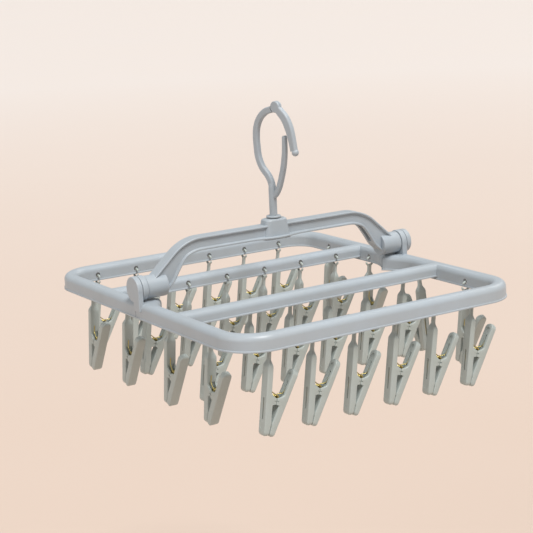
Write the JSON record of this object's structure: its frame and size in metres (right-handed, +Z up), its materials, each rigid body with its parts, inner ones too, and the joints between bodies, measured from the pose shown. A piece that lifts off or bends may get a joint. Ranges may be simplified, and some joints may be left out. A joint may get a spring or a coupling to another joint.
{
  "type": "clip drying hanger",
  "caption": "Folding drying hanger: a snap hook on a swivel, an arch handle, two hinged half frames and sprung clips that swing from the rails.",
  "frame": {"origin": "where the inside of the hook rests on the pole", "axes": "+Z up, X along the hinge between the two half frames, -Y towards the front half"},
  "size_m": [0.32, 0.3696, 0.2684],
  "materials": {
    "hanger_plastic": "satin moulded polypropylene, pale blue grey",
    "clip_plastic": "satin moulded polypropylene, pale greenish grey",
    "pin_metal": "zinc-plated steel",
    "spring_wire": "gold-coloured spring wire"
  },
  "bodies": {
    "hook": {"hook_body": "hanger_plastic", "claw_pin": "pin_metal", "swivel_washer": "pin_metal", "swivel_screw": "pin_metal"},
    "claw": {"hook_claw": "hanger_plastic"},
    "arch": {"arch_handle": "hanger_plastic", "hinge_pin_left": "pin_metal", "hinge_pin_right": "pin_metal"},
    "front_half": {"front_frame": "hanger_plastic"},
    "back_half": {"back_frame": "hanger_plastic"},
    "clip_front_outer_1": {"leg_front_outer_1": "clip_plastic"},
    "jaw_front_outer_1": {"lever_front_outer_1": "clip_plastic"},
    "clip_front_inner_1": {"leg_front_inner_1": "clip_plastic"},
    "jaw_front_inner_1": {"lever_front_inner_1": "clip_plastic"},
    "clip_front_outer_2": {"leg_front_outer_2": "clip_plastic"},
    "jaw_front_outer_2": {"lever_front_outer_2": "clip_plastic"},
    "clip_front_inner_2": {"leg_front_inner_2": "clip_plastic"},
    "jaw_front_inner_2": {"lever_front_inner_2": "clip_plastic"},
    "clip_front_outer_3": {"leg_front_outer_3": "clip_plastic"},
    "jaw_front_outer_3": {"lever_front_outer_3": "clip_plastic"},
    "clip_front_inner_3": {"leg_front_inner_3": "clip_plastic"},
    "jaw_front_inner_3": {"lever_front_inner_3": "clip_plastic"},
    "clip_front_outer_4": {"leg_front_outer_4": "clip_plastic"},
    "jaw_front_outer_4": {"lever_front_outer_4": "clip_plastic"},
    "clip_front_inner_4": {"leg_front_inner_4": "clip_plastic"},
    "jaw_front_inner_4": {"lever_front_inner_4": "clip_plastic"},
    "clip_front_outer_5": {"leg_front_outer_5": "clip_plastic"},
    "jaw_front_outer_5": {"lever_front_outer_5": "clip_plastic"},
    "clip_front_inner_5": {"leg_front_inner_5": "clip_plastic"},
    "jaw_front_inner_5": {"lever_front_inner_5": "clip_plastic"},
    "clip_front_outer_6": {"leg_front_outer_6": "clip_plastic"},
    "jaw_front_outer_6": {"lever_front_outer_6": "clip_plastic"},
    "clip_front_inner_6": {"leg_front_inner_6": "clip_plastic"},
    "jaw_front_inner_6": {"lever_front_inner_6": "clip_plastic"},
    "clip_front_left_1": {"leg_front_left_1": "clip_plastic"},
    "jaw_front_left_1": {"lever_front_left_1": "clip_plastic"},
    "clip_front_right_1": {"leg_front_right_1": "clip_plastic"},
    "jaw_front_right_1": {"lever_front_right_1": "clip_plastic"},
    "clip_front_left_2": {"leg_front_left_2": "clip_plastic"},
    "jaw_front_left_2": {"lever_front_left_2": "clip_plastic"},
    "clip_front_right_2": {"leg_front_right_2": "clip_plastic"},
    "jaw_front_right_2": {"lever_front_right_2": "clip_plastic"},
    "clip_back_outer_1": {"clip_back_outer_1": "clip_plastic"},
    "clip_back_inner_1": {"clip_back_inner_1": "clip_plastic"},
    "clip_back_outer_2": {"clip_back_outer_2": "clip_plastic"},
    "clip_back_inner_2": {"clip_back_inner_2": "clip_plastic"},
    "clip_back_outer_3": {"clip_back_outer_3": "clip_plastic"},
    "clip_back_inner_3": {"clip_back_inner_3": "clip_plastic"},
    "clip_back_outer_4": {"clip_back_outer_4": "clip_plastic"},
    "clip_back_inner_4": {"clip_back_inner_4": "clip_plastic"},
    "clip_back_outer_5": {"clip_back_outer_5": "clip_plastic"},
    "clip_back_inner_5": {"clip_back_inner_5": "clip_plastic"},
    "clip_back_outer_6": {"clip_back_outer_6": "clip_plastic"},
    "clip_back_inner_6": {"clip_back_inner_6": "clip_plastic"},
    "clip_back_left_1": {"clip_back_left_1": "clip_plastic"},
    "clip_back_right_1": {"clip_back_right_1": "clip_plastic"},
    "clip_back_left_2": {"clip_back_left_2": "clip_plastic"},
    "clip_back_right_2": {"clip_back_right_2": "clip_plastic"}
  },
  "joints": [
    {"name": "front_fold", "type": "hinge", "parent": "arch", "child": "front_half", "pos_m": [0, 0, -0.147], "axis": [-1, 0, 0], "range_deg": [0, 85]},
    {"name": "back_fold", "type": "hinge", "parent": "arch", "child": "back_half", "pos_m": [0, 0, -0.147], "axis": [1, 0, 0], "range_deg": [0, 85]},
    {"name": "swivel", "type": "hinge", "parent": "hook", "child": "arch", "pos_m": [0, 0, -0.105], "axis": [0, 0, 1], "continuous": true},
    {"name": "claw_pivot", "type": "hinge", "parent": "hook", "child": "claw", "pos_m": [0.0022, -0.00955, 0.0084], "axis": [0.9744, 0.225, 0], "range_deg": [-70, 0]},
    {"name": "jaw_front_outer_3", "type": "hinge", "parent": "clip_front_outer_3", "child": "jaw_front_outer_3", "pos_m": [-0.02591, -0.1708, -0.22054], "axis": [0, -1, 0], "range_deg": [0, 30], "stiffness_Nm_per_rad": 0.05, "springref_deg": -45.84},
    {"name": "swing_front_outer_3", "type": "hinge", "parent": "front_half", "child": "clip_front_outer_3", "pos_m": [-0.0285, -0.1708, -0.1738], "axis": [1, 0, 0], "range_deg": [-60, 85]},
    {"name": "swing_back_inner_3", "type": "hinge", "parent": "back_half", "child": "clip_back_inner_3", "pos_m": [-0.0225, 0.0588, -0.1708], "axis": [-1, 0, 0], "range_deg": [-60, 85]},
    {"name": "swing_front_left_1", "type": "hinge", "parent": "front_half", "child": "clip_front_left_1", "pos_m": [-0.1448, -0.042, -0.1738], "axis": [0, -1, 0], "range_deg": [-45, 5]},
    {"name": "swing_back_left_1", "type": "hinge", "parent": "back_half", "child": "clip_back_left_1", "pos_m": [-0.1448, 0.042, -0.1738], "axis": [0, -1, 0], "range_deg": [-45, 5]},
    {"name": "swing_front_outer_1", "type": "hinge", "parent": "front_half", "child": "clip_front_outer_1", "pos_m": [-0.1185, -0.1708, -0.1738], "axis": [1, 0, 0], "range_deg": [-60, 85]},
    {"name": "swing_front_inner_1", "type": "hinge", "parent": "front_half", "child": "clip_front_inner_1", "pos_m": [-0.1125, -0.0588, -0.1708], "axis": [1, 0, 0], "range_deg": [-60, 85]},
    {"name": "swing_front_outer_2", "type": "hinge", "parent": "front_half", "child": "clip_front_outer_2", "pos_m": [-0.0735, -0.1708, -0.1738], "axis": [1, 0, 0], "range_deg": [-60, 85]},
    {"name": "swing_front_inner_2", "type": "hinge", "parent": "front_half", "child": "clip_front_inner_2", "pos_m": [-0.0675, -0.0588, -0.1708], "axis": [1, 0, 0], "range_deg": [-60, 85]},
    {"name": "swing_front_inner_3", "type": "hinge", "parent": "front_half", "child": "clip_front_inner_3", "pos_m": [-0.0225, -0.0588, -0.1708], "axis": [1, 0, 0], "range_deg": [-60, 85]},
    {"name": "swing_front_outer_4", "type": "hinge", "parent": "front_half", "child": "clip_front_outer_4", "pos_m": [0.0165, -0.1708, -0.1738], "axis": [1, 0, 0], "range_deg": [-60, 85]},
    {"name": "swing_front_inner_4", "type": "hinge", "parent": "front_half", "child": "clip_front_inner_4", "pos_m": [0.0225, -0.0588, -0.1708], "axis": [1, 0, 0], "range_deg": [-60, 85]},
    {"name": "swing_front_outer_5", "type": "hinge", "parent": "front_half", "child": "clip_front_outer_5", "pos_m": [0.0615, -0.1708, -0.1738], "axis": [1, 0, 0], "range_deg": [-60, 85]},
    {"name": "swing_front_inner_5", "type": "hinge", "parent": "front_half", "child": "clip_front_inner_5", "pos_m": [0.0675, -0.0588, -0.1708], "axis": [1, 0, 0], "range_deg": [-60, 85]},
    {"name": "swing_front_outer_6", "type": "hinge", "parent": "front_half", "child": "clip_front_outer_6", "pos_m": [0.1065, -0.1708, -0.1738], "axis": [1, 0, 0], "range_deg": [-60, 85]},
    {"name": "swing_front_inner_6", "type": "hinge", "parent": "front_half", "child": "clip_front_inner_6", "pos_m": [0.1125, -0.0588, -0.1708], "axis": [1, 0, 0], "range_deg": [-60, 85]},
    {"name": "swing_front_right_1", "type": "hinge", "parent": "front_half", "child": "clip_front_right_1", "pos_m": [0.1448, -0.042, -0.1738], "axis": [0, 1, 0], "range_deg": [-45, 5]},
    {"name": "swing_front_left_2", "type": "hinge", "parent": "front_half", "child": "clip_front_left_2", "pos_m": [-0.1448, -0.116, -0.1738], "axis": [0, -1, 0], "range_deg": [-45, 38]},
    {"name": "swing_front_right_2", "type": "hinge", "parent": "front_half", "child": "clip_front_right_2", "pos_m": [0.1448, -0.116, -0.1738], "axis": [0, 1, 0], "range_deg": [-45, 38]},
    {"name": "swing_back_outer_1", "type": "hinge", "parent": "back_half", "child": "clip_back_outer_1", "pos_m": [-0.1125, 0.1708, -0.1738], "axis": [-1, 0, 0], "range_deg": [-60, 85]},
    {"name": "swing_back_inner_1", "type": "hinge", "parent": "back_half", "child": "clip_back_inner_1", "pos_m": [-0.1125, 0.0588, -0.1708], "axis": [-1, 0, 0], "range_deg": [-60, 85]},
    {"name": "swing_back_outer_2", "type": "hinge", "parent": "back_half", "child": "clip_back_outer_2", "pos_m": [-0.0675, 0.1708, -0.1738], "axis": [-1, 0, 0], "range_deg": [-60, 85]},
    {"name": "swing_back_inner_2", "type": "hinge", "parent": "back_half", "child": "clip_back_inner_2", "pos_m": [-0.0675, 0.0588, -0.1708], "axis": [-1, 0, 0], "range_deg": [-60, 85]},
    {"name": "swing_back_outer_3", "type": "hinge", "parent": "back_half", "child": "clip_back_outer_3", "pos_m": [-0.0225, 0.1708, -0.1738], "axis": [-1, 0, 0], "range_deg": [-60, 85]},
    {"name": "swing_back_outer_4", "type": "hinge", "parent": "back_half", "child": "clip_back_outer_4", "pos_m": [0.0225, 0.1708, -0.1738], "axis": [-1, 0, 0], "range_deg": [-60, 85]},
    {"name": "swing_back_inner_4", "type": "hinge", "parent": "back_half", "child": "clip_back_inner_4", "pos_m": [0.0225, 0.0588, -0.1708], "axis": [-1, 0, 0], "range_deg": [-60, 85]},
    {"name": "swing_back_outer_5", "type": "hinge", "parent": "back_half", "child": "clip_back_outer_5", "pos_m": [0.0675, 0.1708, -0.1738], "axis": [-1, 0, 0], "range_deg": [-60, 85]},
    {"name": "swing_back_inner_5", "type": "hinge", "parent": "back_half", "child": "clip_back_inner_5", "pos_m": [0.0675, 0.0588, -0.1708], "axis": [-1, 0, 0], "range_deg": [-60, 85]},
    {"name": "swing_back_outer_6", "type": "hinge", "parent": "back_half", "child": "clip_back_outer_6", "pos_m": [0.1125, 0.1708, -0.1738], "axis": [-1, 0, 0], "range_deg": [-60, 85]},
    {"name": "swing_back_inner_6", "type": "hinge", "parent": "back_half", "child": "clip_back_inner_6", "pos_m": [0.1125, 0.0588, -0.1708], "axis": [-1, 0, 0], "range_deg": [-60, 85]},
    {"name": "swing_back_right_1", "type": "hinge", "parent": "back_half", "child": "clip_back_right_1", "pos_m": [0.1448, 0.042, -0.1738], "axis": [0, 1, 0], "range_deg": [-45, 5]},
    {"name": "swing_back_left_2", "type": "hinge", "parent": "back_half", "child": "clip_back_left_2", "pos_m": [-0.1448, 0.116, -0.1738], "axis": [0, -1, 0], "range_deg": [-45, 38]},
    {"name": "swing_back_right_2", "type": "hinge", "parent": "back_half", "child": "clip_back_right_2", "pos_m": [0.1448, 0.116, -0.1738], "axis": [0, 1, 0], "range_deg": [-45, 38]},
    {"name": "jaw_front_outer_1", "type": "hinge", "parent": "clip_front_outer_1", "child": "jaw_front_outer_1", "pos_m": [-0.11591, -0.1708, -0.22054], "axis": [0, -1, 0], "range_deg": [0, 30], "stiffness_Nm_per_rad": 0.05, "springref_deg": -45.84},
    {"name": "jaw_front_inner_1", "type": "hinge", "parent": "clip_front_inner_1", "child": "jaw_front_inner_1", "pos_m": [-0.10991, -0.0588, -0.21754], "axis": [0, -1, 0], "range_deg": [0, 30], "stiffness_Nm_per_rad": 0.05, "springref_deg": -45.84},
    {"name": "jaw_front_outer_2", "type": "hinge", "parent": "clip_front_outer_2", "child": "jaw_front_outer_2", "pos_m": [-0.07091, -0.1708, -0.22054], "axis": [0, -1, 0], "range_deg": [0, 30], "stiffness_Nm_per_rad": 0.05, "springref_deg": -45.84},
    {"name": "jaw_front_inner_2", "type": "hinge", "parent": "clip_front_inner_2", "child": "jaw_front_inner_2", "pos_m": [-0.06491, -0.0588, -0.21754], "axis": [0, -1, 0], "range_deg": [0, 30], "stiffness_Nm_per_rad": 0.05, "springref_deg": -45.84},
    {"name": "jaw_front_inner_3", "type": "hinge", "parent": "clip_front_inner_3", "child": "jaw_front_inner_3", "pos_m": [-0.01991, -0.0588, -0.21754], "axis": [0, -1, 0], "range_deg": [0, 30], "stiffness_Nm_per_rad": 0.05, "springref_deg": -45.84},
    {"name": "jaw_front_outer_4", "type": "hinge", "parent": "clip_front_outer_4", "child": "jaw_front_outer_4", "pos_m": [0.01909, -0.1708, -0.22054], "axis": [0, -1, 0], "range_deg": [0, 30], "stiffness_Nm_per_rad": 0.05, "springref_deg": -45.84},
    {"name": "jaw_front_inner_4", "type": "hinge", "parent": "clip_front_inner_4", "child": "jaw_front_inner_4", "pos_m": [0.02509, -0.0588, -0.21754], "axis": [0, -1, 0], "range_deg": [0, 30], "stiffness_Nm_per_rad": 0.05, "springref_deg": -45.84},
    {"name": "jaw_front_outer_5", "type": "hinge", "parent": "clip_front_outer_5", "child": "jaw_front_outer_5", "pos_m": [0.06409, -0.1708, -0.22054], "axis": [0, -1, 0], "range_deg": [0, 30], "stiffness_Nm_per_rad": 0.05, "springref_deg": -45.84},
    {"name": "jaw_front_inner_5", "type": "hinge", "parent": "clip_front_inner_5", "child": "jaw_front_inner_5", "pos_m": [0.07009, -0.0588, -0.21754], "axis": [0, -1, 0], "range_deg": [0, 30], "stiffness_Nm_per_rad": 0.05, "springref_deg": -45.84},
    {"name": "jaw_front_outer_6", "type": "hinge", "parent": "clip_front_outer_6", "child": "jaw_front_outer_6", "pos_m": [0.10909, -0.1708, -0.22054], "axis": [0, -1, 0], "range_deg": [0, 30], "stiffness_Nm_per_rad": 0.05, "springref_deg": -45.84},
    {"name": "jaw_front_inner_6", "type": "hinge", "parent": "clip_front_inner_6", "child": "jaw_front_inner_6", "pos_m": [0.11509, -0.0588, -0.21754], "axis": [0, -1, 0], "range_deg": [0, 30], "stiffness_Nm_per_rad": 0.05, "springref_deg": -45.84},
    {"name": "jaw_front_left_1", "type": "hinge", "parent": "clip_front_left_1", "child": "jaw_front_left_1", "pos_m": [-0.1448, -0.04459, -0.22054], "axis": [-1, 0, 0], "range_deg": [0, 30], "stiffness_Nm_per_rad": 0.05, "springref_deg": -45.84},
    {"name": "jaw_front_right_1", "type": "hinge", "parent": "clip_front_right_1", "child": "jaw_front_right_1", "pos_m": [0.1448, -0.03941, -0.22054], "axis": [1, 0, 0], "range_deg": [0, 30], "stiffness_Nm_per_rad": 0.05, "springref_deg": -45.84},
    {"name": "jaw_front_left_2", "type": "hinge", "parent": "clip_front_left_2", "child": "jaw_front_left_2", "pos_m": [-0.1448, -0.11859, -0.22054], "axis": [-1, 0, 0], "range_deg": [0, 30], "stiffness_Nm_per_rad": 0.05, "springref_deg": -45.84},
    {"name": "jaw_front_right_2", "type": "hinge", "parent": "clip_front_right_2", "child": "jaw_front_right_2", "pos_m": [0.1448, -0.11859, -0.22054], "axis": [-1, 0, 0], "range_deg": [0, 30], "stiffness_Nm_per_rad": 0.05, "springref_deg": -45.84}
  ]
}
